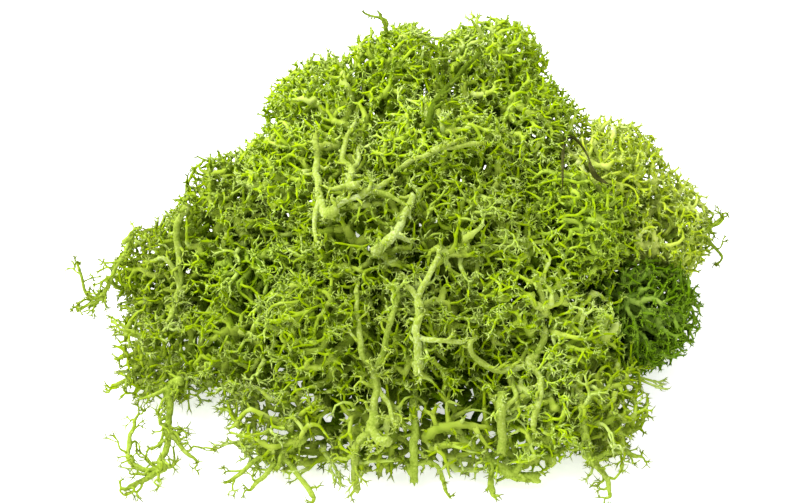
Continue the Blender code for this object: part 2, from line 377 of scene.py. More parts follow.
# Age goes from 0 on the stoutest stem to 1 on a finger's point. Fingers start a little after the wood ends.
YOUNGEST_WOOD = 0.76
CURVED_AGES = (0.78, 0.79, 0.8, 0.88, 0.885, 0.89, 1.0)
STRAIGHT_AGES = (0.79, 0.795, 0.8, 0.99)


class Bush:
    """Gathers the tubes and fingers of one piece as arrays, then writes them as one mesh."""

    def __init__(self):
        self.places, self.ages, self.tones, self.faces = [], [], [], []
        self.count = 0

    def add(self, places, ages, tones, faces):
        """places (n, 3), ages and tones (n), and faces as arrays of corner numbers from 0."""
        self.places.append(places)
        self.ages.append(ages)
        self.tones.append(tones)
        self.faces += [face + self.count for face in faces]
        self.count += len(places)

    def tubes(self, paths, radii, ages, tones, sides):
        """Round tubes along paths (n, m, 3), with ages and tones for each of their m rings."""
        places = rings_round(paths, radii, sides).reshape(-1, 3)
        tone = tones[:, :, None] + RING_TONES * np.cos(np.arange(sides) * 2 * math.pi / sides)
        age = np.repeat(ages[:, :, None], sides, 2)
        index = np.arange(age.size).reshape(age.shape)
        self.add(places, age.ravel(), tone.ravel(), tube_faces(index))

    def fingers(self, bases, headings, lengths, radii, tones, bends=None):
        """Pointed three-sided fingers: a ring at the base, one half way if they bend, and a point."""
        across = unit(np.cross(headings, FINGER_SIDE))
        round_way = radii[:, None, None] * circle(headings, across, 3)
        rings = [bases[:, None] + round_way]
        if bends is None:
            point, ages, shades = bases + headings * lengths[:, None], STRAIGHT_AGES, (1, -0.5, -0.5, 0)
        else:
            middle = bases + headings * lengths[:, None] * 0.5
            rings.append(middle[:, None] + FINGER_WAIST * round_way)
            point, ages = middle + unit(headings + bends) * lengths[:, None] * 0.5, CURVED_AGES
            shades = (1, -0.5, -0.5, 1, -0.5, -0.5, 0)
        places = np.concatenate([*rings, point[:, None]], 1)
        index = np.arange(places.size // 3).reshape(len(bases), -1)
        last = index[:, -4:-1]
        ends = np.stack([last, np.roll(last, -1, 1), np.repeat(index[:, -1:], 3, 1)], -1).reshape(-1, 3)
        faces = [walls(index[:, :-1].reshape(-1, len(rings), 3)), ends, index[:, 2::-1]]
        tone = tones[:, None] + RING_TONES * np.array(shades)
        self.add(places.reshape(-1, 3), np.tile(ages, len(bases)), tone.ravel(), faces)

    def write(self, name, material, mapped=True):
        """Makes the mesh. Its ages and tones are kept as its map, or as attributes if it isn't mapped."""
        mesh = bpy.data.meshes.new(name)
        places = np.concatenate(self.places)
        low = np.minimum(places[:, 2] - PRESSED, 0)
        places[:, 2] = np.maximum(places[:, 2], PRESSED * np.exp(low / PRESSED))
        places *= MM
        mesh.vertices.add(len(places))
        mesh.vertices.foreach_set("co", places.ravel())
        corners = np.concatenate([face.ravel() for face in self.faces]).astype(np.int32)
        sizes = np.concatenate([np.full(len(face), face.shape[1]) for face in self.faces])
        mesh.loops.add(len(corners))
        mesh.loops.foreach_set("vertex_index", corners)
        mesh.polygons.add(len(sizes))
        mesh.polygons.foreach_set("loop_start", np.concatenate([[0], np.cumsum(sizes)[:-1]]))
        mesh.polygons.foreach_set("use_smooth", np.ones(len(sizes), bool))
        mesh.update(calc_edges=True)
        ages = np.concatenate(self.ages).astype(np.float32)
        tones = np.clip(np.concatenate(self.tones), 0.02, 0.98).astype(np.float32)
        if mapped:
            layer = mesh.uv_layers.new(name="OFBake")
            layer.uv.foreach_set("vector", np.stack([ages, tones], 1)[corners].ravel())
        else:
            for attribute, values in (("age", ages), ("tone", tones)):
                mesh.attributes.new(attribute, "FLOAT", "POINT").data.foreach_set("value", values)
        mesh.materials.append(material)
        piece = bpy.data.objects.new(name, mesh)
        bpy.context.scene.collection.objects.link(piece)
        return piece


def spline(places, steps):
    """A Catmull-Rom curve through rows of places (n, m, k), with some steps to each span."""
    first = 2 * places[:, :1] - places[:, 1:2]
    last = 2 * places[:, -1:] - places[:, -2:-1]
    p = np.concatenate([first, places, last], 1)
    a, b, c, d = p[:, :-3], p[:, 1:-2], p[:, 2:-1], p[:, 3:]
    t = (np.arange(steps) / steps)[:, None, None, None]
    curve = b + 0.5 * t * (c - a + t * (2 * a - 5 * b + 4 * c - d + t * (3 * (b - c) + d - a)))
    curve = np.moveaxis(curve, 0, 2).reshape(len(places), -1, places.shape[-1])
    return np.concatenate([curve, places[:, -1:]], 1)


def fan(headings, count, low, high, rng):
    """Splays courses evenly round each heading, from low to high radians off it: count[i] of them."""
    which = np.repeat(np.arange(len(headings)), count)
    turn = np.arange(len(which)) - np.repeat(np.cumsum(count) - count, count)
    angle = 2 * math.pi * (turn / count[which] + rng.random(len(headings))[which])
    angle += rng.normal(0, 0.25, len(which))
    across = unit(np.cross(headings, rng.normal(size=(len(headings), 3))))[which]
    ahead = headings[which]
    beside = np.cross(ahead, across)
    sideways = across * np.cos(angle)[:, None] + beside * np.sin(angle)[:, None]
    spread = rng.uniform(low, high, (len(which), 1))
    return which, unit(ahead * np.cos(spread) + sideways * np.sin(spread)), sideways


def tip_stars(bush, tips, headings, radii, tones, length, rng, curved=True):
    """Two to four fingers spread round each tip, curved or straight."""
    which, course, sideways = fan(headings, rng.integers(2, 5, len(tips)), *STAR_SPLAY, rng)
    bends = 0.5 * rng.normal(size=course.shape) + 0.35 * sideways
    lengths = length * rng.uniform(*FINGER_LENGTHS, len(which))
    bases = tips[which] - 0.5 * radii[which][:, None] * headings[which]
    widths = radii[which] * rng.uniform(0.75, 0.95, len(which))
    bush.fingers(bases, course, lengths, widths, tones[which], bends if curved else None)


STAR_SPLAY = (0.45, 1.05)  # how far fingers stand off a tip's course, in radians
FINGER_LENGTHS = (0.6, 1.35)
SPUR_RADIUS = 0.2
SPUR_SHARE = 0.45  # how many of the shallow forks carry a spur
SPUR_PALER = 0.06


def spurs(bush, roots, headings, radii, tones, length, rng):
    """Short side twigs, each a tube that ends in a star of straight fingers."""
    reach = length * rng.uniform(0.4, 1.1, len(roots))
    ends = roots + headings * (radii + reach)[:, None]
    widths = np.minimum(0.8 * radii, SPUR_RADIUS)
    ages = np.broadcast_to([YOUNGEST_WOOD - 0.1, YOUNGEST_WOOD], (len(roots), 2))
    paler = tones + SPUR_PALER
    radii = np.stack([1.5 * widths, 0.85 * widths], 1)
    bush.tubes(np.stack([roots, ends], 1), radii, ages, np.stack([tones, paler], 1), 3)
    tip_stars(bush, ends, headings, 0.85 * widths, paler, 0.9 * length, rng, curved=False)


ANTLER_SIDES = (7, 5, 4)
ANTLER_THINS = 0.66
ANTLER_WANDER = 0.22
ANTLER_SPLAY = (0.35, 0.85)
SPECKLE = 0.07  # how much the tone jumps from ring to ring


def wood_age(radius, thin):
    """The age of wood by its radius: 0 at 1 mm, and the youngest at the thinnest."""
    return YOUNGEST_WOOD * (1 - np.sqrt(np.clip((radius - thin) / (1.0 - thin), 0, 1)))


def antlers(bush, starts, headings, lengths, radii, tones, generations, thin, finger, rng):
    """Twigs that fork again and again, stout at a webbed base, thinner on, then splayed in two or three."""
    for generation in range(generations):
        count = len(starts)
        astray = headings + ANTLER_WANDER * rng.normal(size=(count, 3))
        middle = starts + 0.5 * lengths[:, None] * unit(astray)
        onward = unit(middle - starts + 0.3 * lengths[:, None] * rng.normal(size=(count, 3)))
        ends = middle + 0.5 * lengths[:, None] * onward
        last = np.maximum(ANTLER_THINS * radii, thin)
        rows = np.stack(
            [
                np.column_stack([starts - 0.6 * radii[:, None] * headings, 1.25 * radii]),
                np.column_stack([starts + 0.18 * lengths[:, None] * headings, radii]),
                np.column_stack([middle, 0.8 * radii]),
                np.column_stack([ends, 1.2 * last]),
            ],
            1,
        )
        smooth = spline(rows, 2)
        age = np.clip(wood_age(smooth[..., 3], thin), 0.02, YOUNGEST_WOOD)
        tone = tones[:, None] + rng.normal(0, SPECKLE, age.shape)
        bush.tubes(smooth[..., :3], smooth[..., 3], age, tone, ANTLER_SIDES[generation])
        if generation == generations - 1:
            tip_stars(bush, ends, onward, 0.9 * last, tones, finger, rng)
        which, headings, _ = fan(onward, rng.choice((2, 2, 3), count), *ANTLER_SPLAY, rng)
        starts = ends[which]
        lengths = lengths[which] * rng.uniform(0.5, 0.85, len(which))
        radii = last[which] * rng.uniform(0.8, 1.0, len(which))
        tones = tones[which] + 0.03


RADIUS_POWER = 0.36  # the power of the tips that a branch carries
OLDER_DEEPER = 0.02  # how much stouter the branches are for each millimetre below the surface
OLD_WOOD = 3.5  # the depth from which they are old, and stouter for each millimetre by this much more
OLDEST = 0.1
TONE = 0.60
TONE_DRIFT = 0.16
# How much lower the tone is for each millimetre below the surface: painted shade, which draws the skin
# towards its shade colour inside the clump.
PAINTED_SHADE_DEEPER = 0.04
SHALLOW = 3.4  # the depth down to which the branches are seen and are made finely
CURVED_DOWN_TO = 1.5  # the depth from which the fingers are straight
FINGERS_DOWN_TO = 4.5  # the depth from which there are none
STOUT_SHARE = 0.2  # how many of the long shallow runs are stouter, by how much, and how much paler
STOUTER = 0.7
STOUT_PALER = 0.06
LONG_RUN = 5  # how many points it has at least
FORK_SWELL = 1.3  # the webs at forks, and the waists between them
WAIST = 0.24
TAPER = (1.3, 0.85)  # how much stouter than the rest a run starts, and how much finer it ends
# Kinds of tube: whether shallow, the least and the most radius, the sides, and the rings to each span.
TUBE_KINDS = (
    (True, 0.0, 0.27, 3, 1),
    (True, 0.27, 0.45, 4, 1),
    (True, 0.45, 9.0, 6, 2),
    (False, 0.0, 0.45, 3, 1),
    (False, 0.45, 9.0, 4, 1),
)


def branch(bush, points, parent, thin, thick, finger, mat_radius, rng):
    """Gives a tree its body: tubes along its runs, spurs on the sides and stars of fingers on the tips.

    A branch's radius grows with a power of the number of tips that it carries, and with its depth.
    """
    carried = tips_carried(parent)
    kids = np.bincount(parent[1:], minlength=len(parent))
    depth = depth_of(points)
    radius = thin + OLDER_DEEPER * depth + OLDEST * np.clip(depth - OLD_WOOD, 0, 5)
    radius = np.maximum(thin * carried**RADIUS_POWER, radius)
    radius[(points[:, 2] < MAT_HEIGHT) & (depth >= MAT_DEPTH)] = mat_radius
    radius = np.minimum(radius * rng.uniform(0.85, 1.15, len(radius)), thick)
    radius *= np.where(kids > 1, FORK_SWELL, 1)
    # Tone wanders at random, and drops with depth: painted shade inside the clump.
    tone = TONE + TONE_DRIFT * drift(points, 4.5) - PAINTED_SHADE_DEEPER * np.minimum(depth, 14)
    runs = runs_of(parent, carried)
    lengths = np.array([len(run) for run in runs])
    shallow = np.array([depth[run].min() < SHALLOW for run in runs])
    chosen = rng.random(len(runs)) < STOUT_SHARE
    for number in np.flatnonzero((lengths >= LONG_RUN) & shallow & chosen):
        stout = runs[number][1:]
        fading = np.linspace(1, 0, len(stout))
        radius[stout] = np.minimum(radius[stout] * (1 + STOUTER * fading), thick)
        tone[stout] += STOUT_PALER * fading
    widths = np.array([radius[run[1]] for run in runs])
    for size in np.unique(lengths):
        for near_air, least, most, sides, steps in TUBE_KINDS:
            kind = (lengths == size) & (shallow == near_air) & (widths >= least) & (widths < most)
            if not kind.any():
                continue
            rows = np.array([runs[number] for number in np.flatnonzero(kind)])
            own = radius[rows]
            own[:, 0] = np.minimum(own[:, 0] * 0.9, 1.6 * own[:, 1])
            own = own * np.linspace(*TAPER, size)
            shade = tone[rows] + rng.normal(0, 0.07, (len(rows), 1))
            smooth = spline(np.concatenate([points[rows], own[..., None], shade[..., None]], -1), steps)
            phase = np.arange(smooth.shape[1]) % steps / steps
            width = np.maximum(smooth[..., 3], 0.8 * thin) * (1 - WAIST * np.sin(math.pi * phase))
            age = wood_age(width, thin) + np.linspace(0, 0.02, width.shape[1])
            age = np.clip(age, 0.01, YOUNGEST_WOOD + 0.01)
            speckle = rng.normal(0, SPECKLE, age.shape)
            bush.tubes(smooth[..., :3], width, age, smooth[..., 4] + speckle, sides)
    heading = unit(points - points[np.maximum(parent, 0)])
    for curved in (True, False):
        tips = (kids == 0) & (depth < FINGERS_DOWN_TO) & ((depth < CURVED_DOWN_TO) == curved)
        tip_tone = tone[tips] + rng.normal(0, 0.09, tips.sum())
        tip_stars(bush, points[tips], heading[tips], radius[tips], tip_tone, finger, rng, curved)
    chosen = rng.random(len(kids)) < SPUR_SHARE
    sides = np.flatnonzero((kids > 0) & (depth < SHALLOW) & (parent >= 0) & chosen)
    sideways = unit(np.cross(heading[sides], rng.normal(size=(len(sides), 3))) + 0.5 * heading[sides])
    side_tone = tone[sides] + rng.normal(0, 0.08, len(sides))
    spurs(bush, points[sides], sideways, radius[sides], side_tone, finger, rng)


def add_node(tree, kind, inputs, **settings):
    """A new shader node: its settings, and for each of its inputs a value or the socket that feeds it."""
    node = tree.nodes.new("ShaderNode" + kind)
    for name, value in settings.items():
        setattr(node, name, value)
    for name, value in inputs.items():
        if isinstance(value, bpy.types.NodeSocket):
            tree.links.new(value, node.inputs[name])
        else:
            node.inputs[name].default_value = value
    return node.outputs


def skin_group():
    """Lichen skin's colour from age and tone: pale stems, green branchlets, brown ends, and painted shade
    inside, where the tone is low.
    """
    group = bpy.data.node_groups.new("lichen_skin", "ShaderNodeTree")
    for name in ("age", "tone", "burnt from"):
        group.interface.new_socket(name, in_out="INPUT", socket_type="NodeSocketFloat")
    for name in ("stem", "branchlet", "finger", "burnt", "shade", "pale"):
        group.interface.new_socket(name, in_out="INPUT", socket_type="NodeSocketColor")
    group.interface.new_socket("colour", in_out="OUTPUT", socket_type="NodeSocketColor")
    given = group.nodes.new("NodeGroupInput").outputs
    result = group.nodes.new("NodeGroupOutput")

    def blend(low, high, first, second, value):
        """Goes from the first colour to the second as a value rises from low to high."""
        span = add_node(group, "MapRange", {"From Min": low, "From Max": high, "Value": value})
        colours = {"Factor": span["Result"], 6: first, 7: second}
        return add_node(group, "Mix", colours, data_type="RGBA")[2]

    colour = blend(0.25, 0.62, given["stem"], given["branchlet"], given["age"])
    colour = blend(0.78, 0.9, colour, given["finger"], given["age"])
    colour = blend(0.62, 0.98, colour, given["pale"], given["tone"])
    colour = blend(given["burnt from"], 1.0, colour, given["burnt"], given["age"])
    # Low tone blends to the shade colour: painted shade.
    colour = blend(0.6, 0.12, colour, given["shade"], given["tone"])
    group.links.new(colour, result.inputs["colour"])
    return group


lichen_skin = skin_group()
SKIN_ROUGHNESS = 0.85
SKIN_SHINE = 0.02


def new_material(name):
    """A matt material, and the Principled shader in it."""
    material = bpy.data.materials.new(name)
    material.use_nodes = True
    shader = material.node_tree.nodes["Principled BSDF"]
    shader.inputs["Roughness"].default_value = SKIN_ROUGHNESS
    shader.inputs["Specular IOR Level"].default_value = SKIN_SHINE
    return material, shader


def skin_colour(tree, age, tone, burnt_from, colours):
    """The lichen skin's colour for an age and a tone, in one material's colours."""
    inputs = {name: (*colour, 1) for name, colour in colours.items()}
    inputs.update({"age": age, "tone": tone, "burnt from": burnt_from})
    return add_node(tree, "Group", inputs, node_tree=lichen_skin)["colour"]


def lichen(name, burnt_from=0.94, **colours):
    """A lichen skin that reads its age and tone from the piece's own map."""
    material, shader = new_material(name)
    tree = material.node_tree
    own_map = add_node(tree, "UVMap", {}, uv_map="OFBake")
    parts = add_node(tree, "SeparateXYZ", {"Vector": own_map["UV"]})
    colour = skin_colour(tree, parts["X"], parts["Y"], burnt_from, colours)
    tree.links.new(colour, shader.inputs["Base Color"])
    return material


def finish_piece(bush, name, material, slot, *nodes, mapped=True):
    """Writes a bush as a piece that stands in for nodes of the frame."""
    piece = bush.write(name, material, mapped)
    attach(piece, "root")
    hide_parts(*nodes)


LAID = np.array((-0.02, -1.10, 0.0))  # carries the places of stems over to the clump's own middle
ANTLER_DEPTH = (2.2, 3.6)  # how deep below the surface they start
ANTLER_FRONT = -36.0  # how near the front edge they may start, and how near the table
ANTLER_LOWEST = 3
ANTLER_STRAY = 0.45  # how far their course strays from the shortest way out
ANTLER_RADII = (0.32, 0.58)
ANTLER_TONES = (0.5, 0.75)
TRUNK_RADIUS = 1.5
ARM_REACH = 0.55
ARM_END = 0.5  # how thin an arm gets, as a share of its radius at the fork
ARM_CROOK = 0.5
# The inner stems' low tone draws them towards the shade colour: painted shade inside the clump.
ARM_SHADE_TONE = 0.3
ARM_SIDES = 10


def tuft(
    name, base, fork, crowns, fine, thin, thick, finger, seed,
    antler_count=0, antler_reach=2.8, mat_radius=0.85, hollow=-0.8,
):
    """Grows a tuft: the branchlets of each crown from the end of its arm, then the forked stem."""
    base, fork = np.array(base) + LAID, np.array(fork) + LAID
    limbs = [np.array([base, 0.5 * (base + fork), fork])]
    for number, (place, material) in enumerate(crowns.items()):
        crown = crown_nodes.index(f"{name}_crown_{place}")
        rng = np.random.default_rng(seed + number)
        middle = crown_corners[crown].reshape(-1, 3).mean(0)
        root = fork + ARM_REACH * (middle - fork)
        limbs.append(np.array([fork, 0.5 * (fork + root), root]))
        points, parent = grow(scatter(crown, fine, hollow, rng), root, middle - fork)
        points = relax(points, parent)
        bush = Bush()
        branch(bush, points, parent, thin, thick, finger, mat_radius, rng)
        depth = depth_of(points)
        clear = (points[:, 2] > ANTLER_LOWEST) & (points[:, 1] > ANTLER_FRONT)
        deep = np.flatnonzero((depth > ANTLER_DEPTH[0]) & (depth < ANTLER_DEPTH[1]) & clear)
        if antler_count and len(deep) > antler_count:
            starts = points[rng.choice(deep, antler_count, replace=False)]
            out = unit(way_out(starts) + ANTLER_STRAY * rng.normal(size=starts.shape))
            reach = antler_reach * rng.uniform(0.7, 1.3, antler_count)
            width = rng.uniform(*ANTLER_RADII, antler_count)
            tones = rng.uniform(*ANTLER_TONES, antler_count)
            antlers(bush, starts, out, reach, width, tones, 3, thin, 1.2 * finger, rng)
        finish_piece(bush, f"{name}_{place}_branchlets", material, "branchlets", crown_nodes[crown])
    rng = np.random.default_rng(seed + 50)
    rows = np.stack(limbs)
    rows[:, 1] += rng.normal(0, 0.5, (len(rows), 3))
    width = np.tile(thick * np.linspace(1, ARM_END, 3)[:, None], (len(rows), 1, 1))
    width[0] = TRUNK_RADIUS
    smooth = spline(np.concatenate([rows, width], -1), 8)
    path = smooth[..., :3]
    share = np.linspace(0, 1, path.shape[1])
    crook = np.stack([drift(path + 9 * axis, 1.1) for axis in range(3)], -1)
    path = path + ARM_CROOK * crook * np.sin(math.pi * share)[:, None]
    radii = smooth[..., 3] * (1 + 0.16 * drift(smooth[..., :3], 0.9))
    tones = ARM_SHADE_TONE + 0.1 * drift(smooth[..., :3], 1.5)
    bush = Bush()
    ages = np.tile(0.05 + np.linspace(0, 0.1, len(share)), (len(rows), 1))
    bush.tubes(path, radii, ages, tones, ARM_SIDES)
    finish_piece(bush, f"{name}_inner_stem", material, "stems", f"{name}_tuft_stem")


bright_lichen = lichen(
    "bright_lichen",
    stem=(0.43, 0.54, 0.07), branchlet=(0.365, 0.525, 0.003), finger=(0.45, 0.58, 0.13),
    pale=(0.58, 0.68, 0.27), burnt=(0.12, 0.09, 0.01), shade=(0.17, 0.29, 0.0005),
)
tuft(
    "top", base=(2, 9, 3), fork=(3, 15, 25),
    crowns=dict.fromkeys(("left", "middle", "right", "side", "front", "shoulder"), bright_lichen),
    fine=1.31, thin=0.21, thick=0.72, finger=1.05, seed=100, antler_count=4, antler_reach=2.2,
)


# ---- the right tuft
# A tuft that spreads to the right in close, fine branchlets. Its high and outer crowns take a paler copy of
# the skin, painted light, and its low crown a dark green copy, painted shade.

# A paler copy of the bright skin: painted light on the right tuft's high and outer crowns.
painted_light_lichen = lichen(
    "painted_light_lichen",
    stem=(0.57, 0.65, 0.15), branchlet=(0.47, 0.60, 0.02), finger=(0.56, 0.67, 0.20),
    pale=(0.70, 0.77, 0.42), burnt=(0.14, 0.10, 0.02), shade=(0.26, 0.38, 0.001),
)
green_lichen = lichen(
    "green_lichen",
    stem=(0.40, 0.53, 0.07), branchlet=(0.34, 0.49, 0.004), finger=(0.41, 0.56, 0.07),
    pale=(0.54, 0.67, 0.20), burnt=(0.08, 0.07, 0.01), shade=(0.11, 0.21, 0.0004),
)
# A dark green copy of the skin: painted shade on the right tuft's low crown.
painted_deep_shade_lichen = lichen(
    "painted_deep_shade_lichen",
    stem=(0.20, 0.32, 0.04), branchlet=(0.13, 0.25, 0.003), finger=(0.18, 0.32, 0.014),
    pale=(0.34, 0.46, 0.08), burnt=(0.06, 0.05, 0.01), shade=(0.03, 0.08, 0.0003),
)
tuft(
    "right", base=(27, 5, 3), fork=(34, 3, 14),
    crowns={"high": painted_light_lichen, "outer": painted_light_lichen, "low": painted_deep_shade_lichen, "inner": green_lichen},
    fine=1.3, thin=0.19, thick=0.75, finger=0.9, seed=200,
)


# ---- the left tuft and the low left tuft
# Looser tufts on the left, whose branches show between the crowns' tips. Their skin is a darker copy of the
# top tuft's, painted shade, lighter and greener in the hollow between them, and brown on the tips of the
# outer crowns.

# A darker copy of the bright skin: painted shade, for crowns on the left and in the front middle.
painted_shade_lichen = lichen(
    "painted_shade_lichen",
    stem=(0.31, 0.40, 0.045), branchlet=(0.255, 0.375, 0.0015), finger=(0.33, 0.43, 0.08),
    pale=(0.49, 0.60, 0.19), burnt=(0.10, 0.08, 0.01), shade=(0.115, 0.20, 0.0004),
)
# A darker copy of the bright skin, painted shade, with brown ends from burnt_from on, which are the
# fringe's own colour.
painted_shade_fringe_lichen = lichen(
    "painted_shade_fringe_lichen",
    stem=(0.33, 0.42, 0.05), branchlet=(0.28, 0.395, 0.003), finger=(0.33, 0.42, 0.08),
    pale=(0.52, 0.63, 0.23), burnt=(0.075, 0.065, 0.02), shade=(0.11, 0.20, 0.0006),
    burnt_from=0.84,
)
tuft(
    "left", base=(-22, 11, 3), fork=(-28, 8, 12),
    crowns={"high": painted_shade_lichen, "outer": painted_shade_fringe_lichen, "hollow": green_lichen},
    fine=1.5, thin=0.21, thick=0.95, finger=1.1, seed=300, antler_count=12, hollow=-0.65,
)
tuft(
    "low_left", base=(-20, -17, 3), fork=(-28, -15, 5),
    crowns={"outer": painted_shade_fringe_lichen, "inner": painted_shade_lichen},
    fine=1.8, thin=0.21, thick=0.9, finger=1.15, seed=400, antler_count=20, antler_reach=3.0,
    mat_radius=0.5, hollow=-0.65,
)


# ---- the centre and middle right tufts
# The middle of the clump's front, where the crowns are turned aside and the stouter branches lie bare.
# Each tuft is pressed against its neighbours, and their branchlets hold the clump together.

# The centre's crowns take the darker copy of the skin: painted shade.
tuft(
    "centre", base=(1, -5, 3), fork=(1, -9, 19),
    crowns=dict.fromkeys(("left", "right", "low_left", "low_right", "under"), painted_shade_lichen),
    fine=1.5, thin=0.21, thick=0.75, finger=1.15, seed=500, antler_count=12, hollow=-0.7,
)
tuft(
    "middle_right", base=(17, -9, 3), fork=(21, -12, 12),
    crowns=dict.fromkeys(("high", "low"), bright_lichen),
    fine=1.45, thin=0.21, thick=0.95, finger=1.05, seed=600, antler_count=8,
)


# ---- the front tufts
# An open fringe along the front edge: fewer branches, set well apart, with the table showing between them.
# Their lowest stems lie along the table, and their finest tips are brown.

# Their skin is the darker fringe copy: painted shade, with brown ends.
tuft(
    "front", base=(-5, -23, 3), fork=(-5, -27, 5),
    crowns=dict.fromkeys(("left", "middle", "right"), painted_shade_fringe_lichen),
    fine=2.05, thin=0.23, thick=0.7, finger=1.25, seed=700, antler_count=24, antler_reach=2.9,
    mat_radius=0.55, hollow=-0.55,
)
tuft(
    "front_right", base=(24, -21, 3), fork=(27, -25, 5),
    crowns={"inner": bright_lichen, "outer": painted_shade_fringe_lichen},
    fine=1.8, thin=0.21, thick=0.95, finger=1.15, seed=800, antler_count=20, antler_reach=3.0,
    mat_radius=0.6, hollow=-0.65,
)


# ---- the back tuft
# Four broad crowns that close the clump's back, as bushy as the rest. Like all the tufts, they fork from
# one stem that stands on the table.

tuft(
    "back", base=(2, 23, 3), fork=(3, 27, 9),
    crowns=dict.fromkeys(("far_left", "left", "right", "far_right"), bright_lichen),
    fine=2.25, thin=0.22, thick=0.95, finger=1.15, seed=900,
)


# ---- the bare stems in the middle of the front
# Stout old stems that have shed their branchlets: hollow stalks with a pale, warty skin. Their forks are
# webbed, and their ends thin out into small forked twigs or are torn off square.

RING_PITCH = 0.32  # how far apart the rings of a bare stem are
STEM_SIDES = 14
STOUTEST = 1.2
TORN_RADIUS = 0.8  # a limb that is at least as stout as this at its end is torn off there


def wart_group():
    """Warty skin from two sizes of noise: how far each spot stands out, and how much paler it is."""
    group = bpy.data.node_groups.new("warty_skin", "ShaderNodeTree")
    group.interface.new_socket("place", in_out="INPUT", socket_type="NodeSocketVector")
    group.interface.new_socket("height", in_out="OUTPUT", socket_type="NodeSocketFloat")
    group.interface.new_socket("paler", in_out="OUTPUT", socket_type="NodeSocketFloat")
    given = group.nodes.new("NodeGroupInput").outputs
    result = group.nodes.new("NodeGroupOutput").inputs
    fine, coarse = (
        add_node(group, "TexNoise", {"Scale": scale, "Detail": 2.0, "Vector": given["place"]})["Fac"]
        for scale in WART_SCALES
    )
    height = add_node(group, "Math", {0: coarse, 1: 0.5, 2: fine}, operation="MULTIPLY_ADD")[0]
    group.links.new(height, result["height"])
    span = {"From Min": 0.5, "From Max": 1.0, "To Min": -WART_PALER, "To Max": WART_PALER, "Value": height}
    group.links.new(add_node(group, "MapRange", span)["Result"], result["paler"])
    return group


WART_SCALES = (2600.0, 900.0)
WART_PALER = 0.2
WART_HEIGHT = 0.00012
warty_skin = wart_group()


def warty(name, bump, burnt_from=0.94, **colours):
    """A lichen skin that reads its age and tone from attributes and is warty all over."""
    material, shader = new_material(name)
    tree = material.node_tree
    place = add_node(tree, "TexCoord", {})["Object"]
    warts = add_node(tree, "Group", {"place": place}, node_tree=warty_skin)
    age = add_node(tree, "Attribute", {}, attribute_name="age")["Fac"]
    tone = add_node(tree, "Attribute", {}, attribute_name="tone")["Fac"]
    paler = add_node(tree, "Math", {0: tone, 1: warts["paler"]})[0]
    colour = skin_colour(tree, age, paler, burnt_from, colours)
    tree.links.new(colour, shader.inputs["Base Color"])
    relief = {"Strength": bump, "Distance": WART_HEIGHT, "Height": warts["height"]}
    tree.links.new(add_node(tree, "Bump", relief)["Normal"], shader.inputs["Normal"])
    return material


def peeled(parent, route):
    """A limb's route that first runs inside its parent, the way it will go, and then peels off."""
    nearest = np.linalg.norm(parent[:, :3] - route[0], axis=1).argmin()
    low, high = max(nearest - 2, 0), min(nearest + 2, len(parent) - 1)
    onward = (parent[high, :3] - parent[low, :3]) @ (route[1] - route[0]) > 0
    start = np.clip(nearest + (-PEEL_RINGS if onward else PEEL_RINGS), 0, len(parent) - 1)
    return np.concatenate([parent[[start, nearest], :3], route[1:]])


def limb_path(first, last, route, parent, rooted, slender, rng):
    """A limb's rings as rows of place and radius: a crooked curve that swells and thins, flared at a fork.

    The first limb of a rooted stem comes from inside the clump.
    """
    route = np.array(route, float) + LAID
    if parent is not None:
        route = peeled(parent, route)
    elif rooted:
        foot = route[0] - 1.5 * unit(route[1] - route[0]) - ROOT_DEPTH * way_out(route[:1])[0]
        route = np.concatenate([[foot], route])
    route[1:-1] += rng.normal(0, ROUTE_STRAY, route[1:-1].shape)
    rows = np.column_stack([route, slender * np.linspace(first, last, len(route))])
    spans = np.linalg.norm(np.diff(route, axis=0), axis=1)
    steps = max(2, round(spans.sum() / RING_PITCH / len(spans)))
    smooth = spline(rows[None], steps)[0]
    travelled = np.linspace(0, spans.sum(), len(smooth))
    offset = rng.uniform(0, 50, 3)
    crook = np.stack([drift(smooth[:, :3] + offset + 9 * axis, 1.0) for axis in range(3)], 1)
    smooth[:, :3] += CROOK * crook * np.minimum(travelled, 1.0)[:, None]
    smooth[:, 3] *= 1 + SWELLING * drift(smooth[:, :3] + offset, 0.8)
    if parent is not None:
        smooth[:, 3] *= 1 + FLARE * np.exp(-np.abs(travelled - spans[0]) / FLARE_LENGTH)
    return smooth


PEEL_RINGS = 6  # how many rings a limb runs inside its parent
ROOT_DEPTH = 3.0
ROUTE_STRAY = 0.2
CROOK = 0.3
SWELLING = 0.14
FLARE = 0.5
FLARE_LENGTH = 1.1
ROUGHNESS = 0.065  # how much the skin of a bare stem goes in and out, as a share of its radius
TORN_LIP = (-0.2, 0.7)  # how far the ragged lip of a torn end stands past its last ring
TORN_INSIDE = (0.66, 0.45)  # how wide its hollow is at the lip and at the bottom
TORN_DEPTH = 1.5
WEB_RINGS = 9
WEB_HOLLOWED = 0.55  # how far back a web's free edge is at its middle
WEB_THINNER = 0.6
TWIG_SPLAY = (0.6, 1.25)


